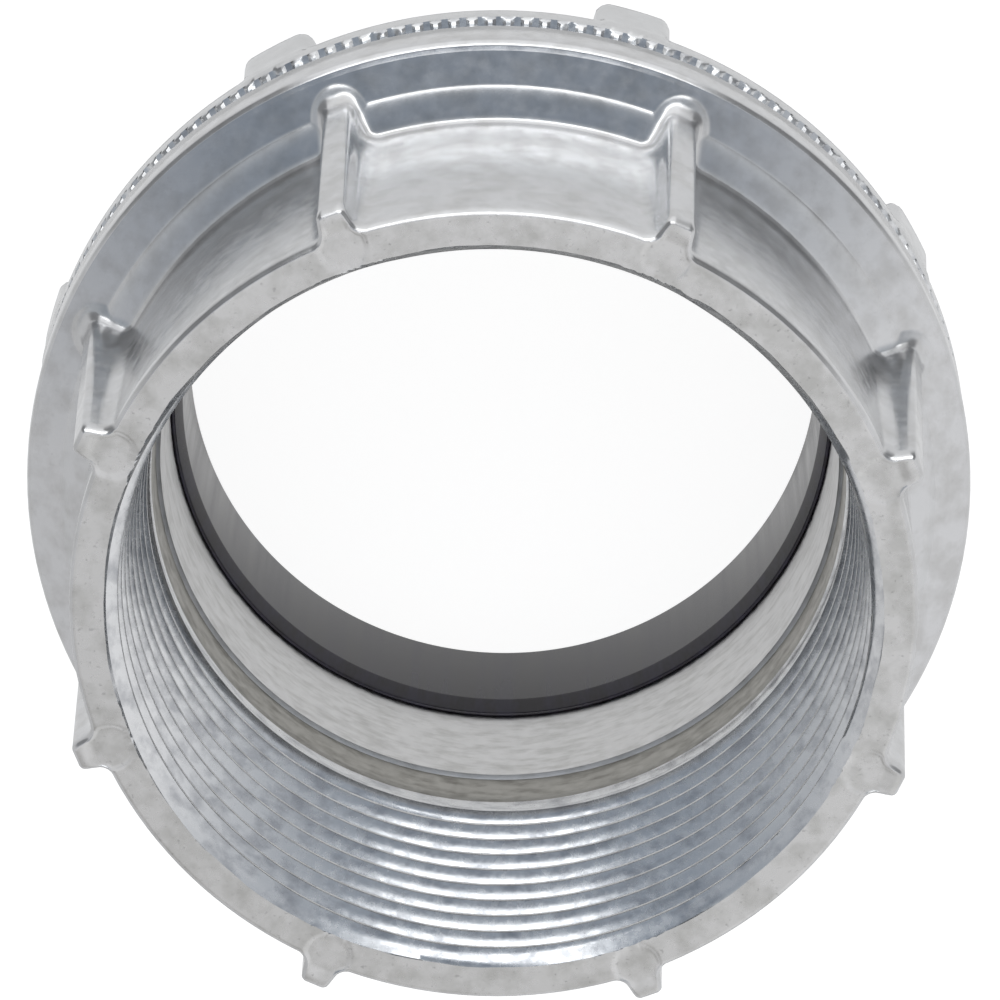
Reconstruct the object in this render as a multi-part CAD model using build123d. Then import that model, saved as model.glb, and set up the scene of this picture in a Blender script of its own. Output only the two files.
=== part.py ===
"""Die-cast conduit hub for trade size 2-1/2 rigid conduit.

The hub stands on its male nipple with the threaded mouth up. The z axis is the
hub's own axis, z = 0 is the lowest face of the insulating liner, and every
dimension is in millimetres.
"""
from build123d import *
import math
import os

# Tapered conduit thread, 1 in 16 on the diameter
THREAD_TAPER = 1.0 / 32.0
THREAD_MINOR_R = 33.85
MOUTH_CHAMFER = 1.05

# Heights along the axis, from the nipple's end up
NIPPLE_END_Z = 1.0
NIPPLE_LENGTH = 30.5
FLANGE_REAR_Z = NIPPLE_END_Z + NIPPLE_LENGTH
BARREL_LENGTH = 35.0
MOUTH_Z = FLANGE_REAR_Z + BARREL_LENGTH
MOUTH_CHAMFER_Z = MOUTH_Z - MOUTH_CHAMFER
THREAD_LENGTH = 31.45
THREAD_END_Z = MOUTH_CHAMFER_Z - THREAD_LENGTH
THREAD_END_R = THREAD_MINOR_R - THREAD_TAPER * THREAD_LENGTH

# Smooth bore behind the thread
RELIEF_LENGTH = 5.3
STOP_STEP_Z = THREAD_END_Z - RELIEF_LENGTH
STOP_STEP = 0.35
BORE_R = 32.4
STOP_STEP_R = BORE_R + STOP_STEP

# Barrel between the mouth and the flange
BARREL_WALL = 4.15
BARREL_R = THREAD_MINOR_R + BARREL_WALL
BARREL_DRAFT = 0.2
BARREL_FOOT_R = BARREL_R + BARREL_DRAFT

# Flange
FLANGE_R = 44.5
RIM_ROUND = 1.2
RIM_HEIGHT = 4.6
RIM_TOP_Z = FLANGE_REAR_Z + RIM_HEIGHT
SLOPE_END_Z = RIM_TOP_Z + RIM_ROUND
SLOPE_RISE = 1.5
LEDGE_Z = SLOPE_END_Z + SLOPE_RISE
SHOULDER_HEIGHT = 2.25
SHOULDER_R = BARREL_FOOT_R + SHOULDER_HEIGHT
BARREL_FOOT_Z = LEDGE_Z + SHOULDER_HEIGHT
LEDGE_WIDTH = 0.75
LEDGE_R = SHOULDER_R + LEDGE_WIDTH

# Male nipple
NIPPLE_WALL = 3.8
NIPPLE_R = BORE_R + NIPPLE_WALL
NIPPLE_END_CHAMFER = 1.2

# Eight ribs that rise towards the flange
RIB_COUNT = 8
RIB_PHASE_DEG = 20.8
RIB_FRONT_WIDTH = 2.8
RIB_FOOT_WIDTH = 2.5
RIB_ROOT_DEPTH = 1.4
RIB_ROOT_R = BARREL_R - RIB_ROOT_DEPTH
RIB_FRONT_HEIGHT = 2.2
RIB_FRONT_R = BARREL_R + RIB_FRONT_HEIGHT
RIB_RISE = 1.45
RIB_FOOT_R = RIB_FRONT_R + RIB_RISE
RIB_FOOT_Z = SLOPE_END_Z + 0.4
RIB_EDGE_ROUND = 0.9
RIB_BASE_FILLET = 1.1

# Sealing ring in the flange's rear groove
GROOVE_WALL = 2.8
GROOVE_WIDTH = 3.2
GROOVE_INNER_R = NIPPLE_R + GROOVE_WALL
GROOVE_OUTER_R = GROOVE_INNER_R + GROOVE_WIDTH
GROOVE_DEPTH = 2.4
RING_SIDE_GAP = 0.1
RING_PROUD = 0.6
RING_TAPER = 0.7

# Insulating liner in the nipple's bore
LINER_GAP = 0.05
LINER_R = BORE_R - LINER_GAP
LINER_WALL = 1.05
LINER_THROAT_R = LINER_R - LINER_WALL
LINER_LENGTH = 14.5
LINER_BOTTOM_Z = 0.0
LINER_TOP_Z = LINER_BOTTOM_Z + LINER_LENGTH
LINER_LEAD_IN = 2.0
LINER_FRONT_LAND = 0.15
LINER_LIP_REACH = 3.0
LINER_LIP_R = LINER_R + LINER_LIP_REACH

# Locknut
NUT_GAP = 0.06
NUT_BORE_R = NIPPLE_R + NUT_GAP
NUT_SEAT_GAP = 0.35
NUT_TOOTH_TIP_Z = FLANGE_REAR_Z - NUT_SEAT_GAP
NUT_RING_R = FLANGE_R
NUT_RING_HEIGHT = 4.75
NUT_RING_REAR_Z = NUT_TOOTH_TIP_Z - NUT_RING_HEIGHT
NUT_HUB_HEIGHT = 5.9
NUT_REAR_Z = NUT_RING_REAR_Z - NUT_HUB_HEIGHT
NUT_HUB_WALL = 4.94
NUT_HUB_R = NUT_BORE_R + NUT_HUB_WALL
NUT_CHAMFER = 1.1
TOOTH_COUNT = 164
TOOTH_HEIGHT = 2.2
TOOTH_ROOT_Z = NUT_TOOTH_TIP_Z - TOOTH_HEIGHT
TOOTH_GAP_SHARE = 0.91
TOOTH_GAP_WIDTH = 2 * math.pi * NUT_RING_R / TOOTH_COUNT * TOOTH_GAP_SHARE
TOOTH_CUT_REACH = 1.1
TOOTH_BAND = 2.0
TOOTH_INNER_R = NUT_RING_R - TOOTH_BAND
NUT_FACE_DROP = 0.15
NUT_FACE_Z = TOOTH_ROOT_Z - NUT_FACE_DROP
LUG_COUNT = 8
LUG_PHASE_DEG = 28.5
LUG_PROUD = 0.4
LUG_R = NUT_RING_R + LUG_PROUD
LUG_ROOT_R = NUT_HUB_R - 1.2
LUG_ROOT_DEPTH = 1.0
LUG_WIDTH = 7.4
LUG_ROUND = 1.6


def turned(points):
    """Turn a closed outline of (radius, height) points about the axis."""
    outline = Polyline([(r, 0, z) for r, z in points], close=True)
    return revolve(make_face(outline), Axis.Z)


def around(solid, count, phase_deg):
    """Copies of a solid spaced evenly about the axis."""
    step = 360.0 / count
    return [Rot(0, 0, phase_deg + step * index) * solid for index in range(count)]


def rounded_corner(centre_r, centre_z, radius, start_deg, end_deg, steps):
    """Points of an arc in the outline, from one angle to the other."""
    sweep = (end_deg - start_deg) / steps
    angles = [math.radians(start_deg + sweep * index) for index in range(steps + 1)]
    return [(centre_r + radius * math.cos(a), centre_z + radius * math.sin(a)) for a in angles]


def casting_outline():
    """Half section of the casting without its ribs."""
    outside = [
        (BORE_R, NIPPLE_END_Z),
        (NIPPLE_R - NIPPLE_END_CHAMFER, NIPPLE_END_Z),
        (NIPPLE_R, NIPPLE_END_Z + NIPPLE_END_CHAMFER),
        (NIPPLE_R, FLANGE_REAR_Z),
        (GROOVE_INNER_R, FLANGE_REAR_Z),
        (GROOVE_INNER_R, FLANGE_REAR_Z + GROOVE_DEPTH),
        (GROOVE_OUTER_R, FLANGE_REAR_Z + GROOVE_DEPTH),
        (GROOVE_OUTER_R, FLANGE_REAR_Z),
        (FLANGE_R, FLANGE_REAR_Z),
    ]
    rim = rounded_corner(FLANGE_R - RIM_ROUND, RIM_TOP_Z, RIM_ROUND, 0, 90, 2)
    front = [
        (LEDGE_R, LEDGE_Z),
        (SHOULDER_R, LEDGE_Z),
        (BARREL_FOOT_R, BARREL_FOOT_Z),
        (BARREL_R, MOUTH_Z),
    ]
    inside = [
        (THREAD_MINOR_R + MOUTH_CHAMFER, MOUTH_Z),
        (THREAD_MINOR_R, MOUTH_CHAMFER_Z),
        (THREAD_END_R, THREAD_END_Z),
        (STOP_STEP_R, STOP_STEP_Z),
        (BORE_R, STOP_STEP_Z),
    ]
    return outside + rim + front + inside


def rib_section(height, crest_r, width):
    """Cross-section of a rib, with hollow fillets at its base and a rounded crest."""
    half = width / 2
    crest = rounded_corner(crest_r - RIB_EDGE_ROUND, half - RIB_EDGE_ROUND, RIB_EDGE_ROUND, 90, 0, 2)
    base = rounded_corner(
        BARREL_R + RIB_BASE_FILLET, half + RIB_BASE_FILLET, RIB_BASE_FILLET, 180, 270, 2
    )
    side = [(RIB_ROOT_R, half + RIB_BASE_FILLET)] + base + crest
    mirrored = [(r, -y) for r, y in reversed(side)]
    return make_face(Polyline([(r, y, height) for r, y in side + mirrored], close=True))


def rib():
    """One rib, its crest rising towards the flange."""
    front = rib_section(MOUTH_Z, RIB_FRONT_R, RIB_FRONT_WIDTH)
    foot = rib_section(RIB_FOOT_Z, RIB_FOOT_R, RIB_FOOT_WIDTH)
    return loft([foot, front], ruled=True)


def hub_body():
    """Casting with the threaded mouth, the ribs, the flange and the nipple."""
    return turned(casting_outline()) + around(rib(), RIB_COUNT, RIB_PHASE_DEG)


def insulating_liner():
    """Plastic liner with a lip over the nipple's end and a tapered lead-in."""
    section = [
        (LINER_THROAT_R, LINER_BOTTOM_Z),
        (LINER_LIP_R, LINER_BOTTOM_Z),
        (LINER_LIP_R, NIPPLE_END_Z),
        (LINER_R, NIPPLE_END_Z),
        (LINER_R, LINER_TOP_Z),
        (LINER_R - LINER_FRONT_LAND, LINER_TOP_Z),
        (LINER_THROAT_R, LINER_TOP_Z - LINER_LEAD_IN),
    ]
    return turned(section)


def sealing_ring():
    """Rubber ring seated in the groove, narrower where it stands proud of the flange."""
    top = FLANGE_REAR_Z + GROOVE_DEPTH
    bottom = FLANGE_REAR_Z - RING_PROUD
    inner = GROOVE_INNER_R + RING_SIDE_GAP
    outer = GROOVE_OUTER_R - RING_SIDE_GAP
    return turned(
        [(inner, top), (inner + RING_TAPER, bottom), (outer - RING_TAPER, bottom), (outer, top)]
    )


def tooth_gap():
    """V cut between two teeth of the locknut, along the radius."""
    reach = TOOTH_HEIGHT * TOOTH_CUT_REACH
    half = TOOTH_GAP_WIDTH / 2 * TOOTH_CUT_REACH
    points = [(0, 0, TOOTH_ROOT_Z), (0, half, TOOTH_ROOT_Z + reach), (0, -half, TOOTH_ROOT_Z + reach)]
    cut = extrude(make_face(Polyline(points, close=True)), NUT_RING_R, dir=(1, 0, 0))
    return Pos(TOOTH_INNER_R / 2, 0, 0) * cut


def toothed_crown():
    """Rim of the locknut, flat between its teeth, with the biting teeth on its front."""
    outline = RegularPolygon(NUT_RING_R, TOOTH_COUNT) - RegularPolygon(TOOTH_INNER_R, TOOTH_COUNT)
    crown = Pos(0, 0, NUT_RING_REAR_Z) * extrude(outline, NUT_TOOTH_TIP_Z - NUT_RING_REAR_Z)
    return crown - around(tooth_gap(), TOOTH_COUNT, 0)


def lug():
    """Driving lug on the locknut's rear, rounded on its rear corners and trimmed to the rim."""
    half = LUG_WIDTH / 2
    top = NUT_RING_REAR_Z + LUG_ROOT_DEPTH
    height = top - NUT_REAR_Z
    corner = rounded_corner(half - LUG_ROUND, NUT_REAR_Z + LUG_ROUND, LUG_ROUND, 0, -90, 2)
    side = [(half, top)] + corner
    mirrored = [(-y, z) for y, z in reversed(side)]
    profile = make_face(Polyline([(LUG_ROOT_R, y, z) for y, z in side + mirrored], close=True))
    block = extrude(profile, LUG_R - LUG_ROOT_R, dir=(1, 0, 0))
    return block & Pos(0, 0, NUT_REAR_Z + height / 2) * Cylinder(LUG_R, height)


def locknut():
    """Locknut with its toothed crown, thick hub and eight lugs."""
    crown_middle_r = (TOOTH_INNER_R + NUT_RING_R) / 2
    section = [
        (NUT_BORE_R + NUT_CHAMFER, NUT_REAR_Z),
        (NUT_HUB_R, NUT_REAR_Z),
        (NUT_HUB_R, NUT_RING_REAR_Z),
        (crown_middle_r, NUT_RING_REAR_Z),
        (crown_middle_r, NUT_FACE_Z),
        (NUT_BORE_R + NUT_CHAMFER, NUT_FACE_Z),
        (NUT_BORE_R, NUT_FACE_Z - NUT_CHAMFER),
        (NUT_BORE_R, NUT_REAR_Z + NUT_CHAMFER),
    ]
    return turned(section) + toothed_crown() + around(lug(), LUG_COUNT, LUG_PHASE_DEG)


def main():
    """Write one file for each piece."""
    os.makedirs("parts", exist_ok=True)
    pieces = {
        "hub_body": hub_body(),
        "insulating_liner": insulating_liner(),
        "sealing_ring": sealing_ring(),
        "locknut": locknut(),
    }
    for name, solid in pieces.items():
        export_step(solid, f"parts/{name}.step")


main()
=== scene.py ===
"""Dressed scene of a watertight die-cast conduit hub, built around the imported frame.

Sizes inside the classes are millimetres on the hub's own axis. Points turn into
metres only when a mesh is made.
"""
import logging
import math
import random
from dataclasses import dataclass, field
from enum import Enum, IntEnum
from typing import Callable, Sequence

import bmesh
import bpy
import numpy as np
from mathutils import Matrix, Vector


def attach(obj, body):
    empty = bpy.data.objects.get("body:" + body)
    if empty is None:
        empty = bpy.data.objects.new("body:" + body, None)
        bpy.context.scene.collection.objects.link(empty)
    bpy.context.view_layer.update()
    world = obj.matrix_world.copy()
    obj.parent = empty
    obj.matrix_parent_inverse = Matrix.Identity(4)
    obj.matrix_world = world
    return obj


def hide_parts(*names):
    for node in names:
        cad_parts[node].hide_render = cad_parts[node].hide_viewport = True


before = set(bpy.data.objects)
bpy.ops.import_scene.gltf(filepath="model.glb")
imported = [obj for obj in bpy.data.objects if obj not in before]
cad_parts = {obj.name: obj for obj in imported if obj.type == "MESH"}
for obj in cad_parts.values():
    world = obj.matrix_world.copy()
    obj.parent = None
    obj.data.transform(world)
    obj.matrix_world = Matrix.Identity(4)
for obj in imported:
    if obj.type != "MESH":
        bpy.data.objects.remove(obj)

log = logging.getLogger("hub")

MM = 0.001
TURN = 2.0 * math.pi

Point = tuple[float, float, float]
Section = list[tuple[float, float]]
Ring = list[int]
Color = tuple[float, float, float]
Amount = float | np.ndarray
Socket = bpy.types.NodeSocket
Material = bpy.types.Material
Object = bpy.types.Object
Input = Socket | Color | float
Quad = tuple[float, float, float, float]

FAR = 9.0  # length in millimetres at which a ray has left every form
EVEN = (1.0, 1.0, 1.0)
WHITE = (1.0, 1.0, 1.0)


def smooth(low: float, high: float, value: Amount) -> Amount:
    """Rise smoothly from 0 at low to 1 at high.

    Args:
        low: Value where the rise starts.
        high: Value where the rise ends.
        value: Number or array to grade.

    Returns:
        The graded number or array, from 0 to 1.
    """
    share = np.clip((value - low) / (high - low), 0.0, 1.0)
    return share * share * (3.0 - 2.0 * share)


def rounded(corners: Sequence[tuple[float, float, float, int]]) -> Section:
    """Round the corners of an open outline with tangent arcs.

    Args:
        corners: (radius, height, corner radius, arc steps) of each corner in order.

    Returns:
        The outline's points with each corner replaced by its arc.
    """
    points: Section = []
    last = len(corners) - 1
    for index, (r, z, bend, steps) in enumerate(corners):
        if bend == 0.0 or index in (0, last):
            points.append((r, z))
            continue
        here = np.array([r, z])
        before = np.array(corners[index - 1][:2]) - here
        after = np.array(corners[index + 1][:2]) - here
        before /= np.linalg.norm(before)
        after /= np.linalg.norm(after)
        half = math.acos(float(np.clip(before @ after, -1.0, 1.0))) / 2.0
        reach = bend / math.tan(half)
        middle = (before + after) / np.linalg.norm(before + after)
        centre = here + middle * bend / math.sin(half)
        first = here + before * reach - centre
        final = here + after * reach - centre
        start = math.atan2(first[1], first[0])
        sweep = math.atan2(final[1], final[0]) - start
        sweep = (sweep + math.pi) % TURN - math.pi
        for step in range(steps + 1):
            angle = start + sweep * step / steps
            points.append((centre[0] + bend * math.cos(angle), centre[1] + bend * math.sin(angle)))
    return points


def distance_to(section: Section, r: np.ndarray, z: np.ndarray) -> np.ndarray:
    """Distance of points from an open outline.

    Args:
        section: Points of the outline.
        r: Radii of the points to measure.
        z: Heights of the points to measure.

    Returns:
        The distances, never negative.
    """
    best = np.full(r.shape, 1e9)
    for (ar, az), (br, bz) in zip(section, section[1:]):
        dr, dz = br - ar, bz - az
        length = dr * dr + dz * dz
        if length == 0.0:
            continue
        share = np.clip(((r - ar) * dr + (z - az) * dz) / length, 0.0, 1.0)
        best = np.minimum(best, np.hypot(r - ar - share * dr, z - az - share * dz))
    return best


def filleted_union(first: np.ndarray, second: np.ndarray, bend: float) -> np.ndarray:
    """Join two distance fields with a round fillet between them.

    Args:
        first: Distances from one form.
        second: Distances from the other form.
        bend: Radius of the fillet.

    Returns:
        Distances from the joined form.
    """
    corner = np.hypot(np.maximum(bend - first, 0.0), np.maximum(bend - second, 0.0))
    return np.maximum(bend, np.minimum(first, second)) - corner


def rounded_box(sides: Sequence[np.ndarray], bend: float) -> np.ndarray:
    """Distance from a corner of a box with rounded edges.

    Args:
        sides: Signed distance from each side, positive outside.
        bend: Radius of the edges.

    Returns:
        Distances, negative inside.
    """
    shifted = [side + bend for side in sides]
    outside = np.sqrt(sum(np.maximum(side, 0.0) ** 2 for side in shifted))
    inside = np.minimum(np.maximum.reduce(shifted), 0.0)
    return outside + inside - bend


def push_out(field_at: Callable[[np.ndarray], np.ndarray], rays: int) -> np.ndarray:
    """Find how far along each ray a form's surface lies.

    Args:
        field_at: Takes an array of ray lengths and gives the distance field there.
        rays: Number of rays.

    Returns:
        The ray lengths at the surface, 0 where the start already lies on it.
    """
    halvings = 36
    low = np.zeros(rays)
    high = low + FAR
    start = field_at(low)
    for _ in range(halvings):
        middle = (low + high) / 2.0
        inside = field_at(middle) < 0.0
        low = np.where(inside, middle, low)
        high = np.where(inside, high, middle)
    return np.where(start > -1e-6, 0.0, low)


def even_angles(columns: int) -> np.ndarray:
    """Angles of evenly spaced columns, in radians."""
    return np.arange(columns) * TURN / columns


class Coat(IntEnum):
    """Numbers of a piece's finishes, in the order in which its mesh is given them."""

    CAST = 0
    CUT = 1
    BORED = 2
    FACE = 3
    # Painted shade: the recessed relief's finish is a darker zinc standing in for the shade there.
    RELIEF_SHADE = 4


@dataclass
class Skin:
    """Rings of points and the faces between them, which become one closed mesh."""

    points: list[Point] = field(default_factory=list)
    faces: list[tuple[int, ...]] = field(default_factory=list)
    finish_of: list[int] = field(default_factory=list)

    def ring(self, coords: Sequence[Point]) -> Ring:
        """Add a closed ring of points.

        Args:
            coords: The points in order.

        Returns:
            Their numbers.
        """
        first = len(self.points)
        self.points.extend((float(x), float(y), float(z)) for x, y, z in coords)
        return list(range(first, len(self.points)))

    def around(self, radii: Amount, angles: np.ndarray, heights: Amount) -> Ring:
        """Add a closed ring of points about the axis.

        Args:
            radii: Radius of each point, or one for all.
            angles: Angle of each point.
            heights: Height of each point, or one for all.

        Returns:
            The numbers of its points.
        """
        radii, heights = radii + 0.0 * angles, heights + 0.0 * angles
        return self.ring(list(zip(radii * np.cos(angles), radii * np.sin(angles), heights)))

    def face(self, numbers: Sequence[int], finish: Coat) -> None:
        """Add one face, dropping repeated points.

        Args:
            numbers: The face's points in order.
            finish: Its finish.
        """
        kept = [n for i, n in enumerate(numbers) if n != numbers[i - 1]]
        if len(set(kept)) >= 3:
            self.faces.append(tuple(kept))
            self.finish_of.append(int(finish))

    def join(self, first: Ring, second: Ring, finish: Coat) -> None:
        """Close the gap between two rings with a strip of faces.

        Args:
            first: Numbers of one ring's points.
            second: Numbers of the other ring's points.
            finish: The strip's finish.
        """
        if len(first) == len(second):
            for index in range(len(first)):
                after = (index + 1) % len(first)
                self.face([first[index], first[after], second[after], second[index]], finish)
            return
        self.join_uneven(first, second, finish)

    def angle(self, number: int) -> float:
        """Angle of a point about the axis, from 0 to a full turn."""
        x, y, _ = self.points[number]
        return math.atan2(y, x) % TURN

    def join_uneven(self, first: Ring, second: Ring, finish: Coat) -> None:
        """Join two rings with different counts by walking round them together.

        Args:
            first: Numbers of one ring's points.
            second: Numbers of the other ring's points.
            finish: The strip's finish.
        """
        rings = []
        for ring in (first, second):
            turned = sorted(ring, key=self.angle)
            angles = [self.angle(number) for number in turned]
            rings.append((turned + turned[:1], angles + [angles[0] + TURN]))
        (a, a_angles), (b, b_angles) = rings
        i = j = 0
        while i < len(a) - 1 or j < len(b) - 1:
            step_a = j == len(b) - 1 or (i < len(a) - 1 and a_angles[i + 1] <= b_angles[j + 1])
            if step_a:
                self.face([a[i], a[i + 1], b[j]], finish)
                i += 1
            else:
                self.face([a[i], b[j + 1], b[j]], finish)
                j += 1

    def join_all(self, rows: Sequence[Ring], finish: Coat) -> None:
        """Join each ring to the next.

        Args:
            rows: The rings in order.
            finish: The strips' finish.
        """
        for first, second in zip(rows, rows[1:]):
            self.join(first, second, finish)

    def strip(self, first: Ring, section: Section, finish: Coat) -> Ring:
        """Carry on from a ring through a run of plain circles.

        Args:
            first: Numbers of the ring to start from.
            section: (radius, height) of each further circle.
            finish: The finish.

        Returns:
            Numbers of the last circle's points.
        """
        angles = even_angles(len(first))
        rows = [first] + [self.around(r, angles, z) for r, z in section]
        self.join_all(rows, finish)
        return rows[-1]

    def turn(self, section: Section, columns: int) -> None:
        """Add a closed outline turned about the axis, in its mesh's first finish.

        Args:
            section: (radius, height) of the outline's points.
            columns: Number of columns round the axis.
        """
        r, z = section[0]
        first = self.around(r, even_angles(columns), z)
        self.join(self.strip(first, section[1:], Coat.CAST), first, Coat.CAST)

    def mesh(self, name: str, finishes: Sequence[Material], sharp_deg: float) -> Object:
        """Make the Blender object.

        Args:
            name: Name of the piece.
            finishes: Materials, in the order of their numbers.
            sharp_deg: Edges that turn by more than this stay sharp.

        Returns:
            The new object, linked to the scene.
        """
        data = bpy.data.meshes.new(name)
        data.from_pydata([tuple(c * MM for c in point) for point in self.points], [], self.faces)
        for material in finishes:
            data.materials.append(material)
        data.polygons.foreach_set("material_index", self.finish_of)
        work = bmesh.new()
        work.from_mesh(data)
        bmesh.ops.remove_doubles(work, verts=work.verts, dist=2e-6)
        bmesh.ops.dissolve_degenerate(work, edges=work.edges, dist=1e-7)
        bmesh.ops.recalc_face_normals(work, faces=work.faces)
        work.to_mesh(data)
        work.free()
        data.shade_smooth()
        data.set_sharp_from_angle(angle=math.radians(sharp_deg))
        piece = bpy.data.objects.new(name, data)
        bpy.context.scene.collection.objects.link(piece)
        return piece


@dataclass(frozen=True)
class ThreadForm:
    """Form of a screw thread that rises with the angle, cut as grooves in a wall."""

    pitch: float
    depth: float
    crest: float
    root: float
    start_z: float
    edge: float = 0.05

    def phases(self) -> list[float]:
        """List the places within a turn where the form bends.

        Returns:
            The places as shares of the pitch.
        """
        crest, flank = self.crest / self.pitch, self.flank()
        edge = self.edge / self.pitch
        deep = crest + flank
        root = self.root / self.pitch
        return [0.0, edge, crest - edge, crest, crest + flank / 2, deep, deep + root, deep + root + flank / 2]

    def flank(self) -> float:
        """Share of the pitch that one flank takes."""
        return (1.0 - (self.crest + self.root) / self.pitch) / 2.0

    def cut(self, angle: np.ndarray, z: np.ndarray) -> np.ndarray:
        """Depth of the groove at an angle and a height.

        Args:
            angle: Angles about the axis.
            z: Heights.

        Returns:
            Depths from 0 on the crest to the full depth in the root.
        """
        phase = ((z - self.start_z) / self.pitch - angle / TURN + 1e-9) % 1.0
        crest, flank = self.crest / self.pitch, self.flank()
        root = self.root / self.pitch
        edge = self.edge / self.pitch
        places = [0.0, edge, crest - edge, crest, crest + flank, crest + flank + root, 1.0]
        depths = [self.edge * 0.6, 0.0, 0.0, self.edge * 0.6, self.depth, self.depth, self.edge * 0.6]
        return np.interp(phase, places, depths)


def threaded_wall(
    skin: Skin,
    form: ThreadForm,
    radius_at: Callable[[np.ndarray, np.ndarray], np.ndarray],
    low: float,
    high: float,
    columns: int,
    finish: Coat,
) -> tuple[Ring, Ring]:
    """Mesh a threaded wall with rows that follow the helix.

    Args:
        skin: The skin to add to.
        form: Form of the thread.
        radius_at: Gives the wall's radius for arrays of angles and heights.
        low: Lowest height.
        high: Highest height.
        columns: Number of columns round the axis.
        finish: The finish.

    Returns:
        The rings at the lowest and at the highest height.
    """
    angles = even_angles(columns)
    low_ring, high_ring = (skin.around(radius_at(angles, np.full(columns, z)), angles, z) for z in (low, high))
    phases = form.phases()
    first_turn = math.floor((low - form.start_z) / form.pitch) - 1
    last_turn = math.ceil((high - form.start_z) / form.pitch) + 1
    snap = 0.06  # rows nearer than this to an end ring join it
    levels: list[list[int]] = []
    for turn in range(first_turn, last_turn + 1):
        for phase in phases:
            heights = form.start_z + (turn + phase + angles / TURN) * form.pitch
            radii = radius_at(angles, np.clip(heights, low, high))
            numbers = []
            for column, (r, z, a) in enumerate(zip(radii, heights, angles)):
                if z <= low + snap:
                    numbers.append(low_ring[column])
                elif z >= high - snap:
                    numbers.append(high_ring[column])
                else:
                    numbers.append(len(skin.points))
                    skin.points.append((float(r * math.cos(a)), float(r * math.sin(a)), float(z)))
            levels.append(numbers)
    per_turn = len(phases)
    for level in range(len(levels) - 1 - per_turn):
        for column in range(columns):
            here, above = levels[level], levels[level + 1]
            after = column + 1
            if after == columns:
                next_here, next_above = levels[level + per_turn][0], levels[level + 1 + per_turn][0]
            else:
                next_here, next_above = here[after], above[after]
            skin.face([here[column], next_here, next_above, above[column]], finish)
    return low_ring, high_ring


class Mottle(Enum):
    """How strongly a cast skin's grey wanders, as the darker grey's greatest share."""

    CALM = 0.35
    LIVELY = 1.0


class Graph:
    """Shorthand for building a node tree."""

    def __init__(self, tree: bpy.types.NodeTree) -> None:
        """Work on a node tree."""
        self.tree = tree

    def link(self, source: Socket, target: Socket) -> None:
        """Join two sockets."""
        self.tree.links.new(source, target)

    def feed(self, socket: Socket, value: Input) -> None:
        """Give an input a socket's result, a colour or a number.

        Args:
            socket: The input.
            value: What it takes.
        """
        if isinstance(value, Socket):
            self.link(value, socket)
        elif isinstance(value, tuple):
            socket.default_value = (*value, 1.0)
        else:
            socket.default_value = value

    def graded(self, value: Socket, low: float, high: float, to_low: float = 0.0, to_high: float = 1.0) -> Socket:
        """Map a value's range onto another, held at both ends.

        Args:
            value: Socket to read.
            low: Value that becomes to_low.
            high: Value that becomes to_high.
            to_low: New low value.
            to_high: New high value.

        Returns:
            The mapped value's socket.
        """
        node = self.tree.nodes.new("ShaderNodeMapRange")
        for key, number in zip(("From Min", "From Max", "To Min", "To Max"), (low, high, to_low, to_high)):
            node.inputs[key].default_value = number
        self.link(value, node.inputs["Value"])
        return node.outputs["Result"]

    def blend(self, share: Socket, first: Input, second: Input) -> Socket:
        """Mix two colours by a share.

        Args:
            share: Socket with the second colour's share.
            first: Colour or socket.
            second: Colour or socket.

        Returns:
            The mixed colour's socket.
        """
        node = self.tree.nodes.new("ShaderNodeMix")
        node.data_type = "RGBA"
        self.link(share, node.inputs["Factor"])
        for socket, value in zip([s for s in node.inputs if s.type == "RGBA"], (first, second)):
            self.feed(socket, value)
        return [s for s in node.outputs if s.type == "RGBA"][0]

    def math(self, kind: str, *values: Input) -> Socket:
        """Work out a sum, product or other operation.

        Args:
            kind: The operation's name in the node.
            *values: Numbers or sockets.

        Returns:
            The result's socket.
        """
        node = self.tree.nodes.new("ShaderNodeMath")
        node.operation = kind
        for socket, value in zip(node.inputs, values):
            self.feed(socket, value)
        return node.outputs[0]

    def shift(self, share: Socket, first: Input, second: Input) -> Socket:
        """Move a number towards another by a share.

        Args:
            share: Socket with the second number's share.
            first: Number or socket.
            second: Number or socket.

        Returns:
            The result's socket.
        """
        return self.math("MULTIPLY_ADD", share, self.math("SUBTRACT", second, first), first)


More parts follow.
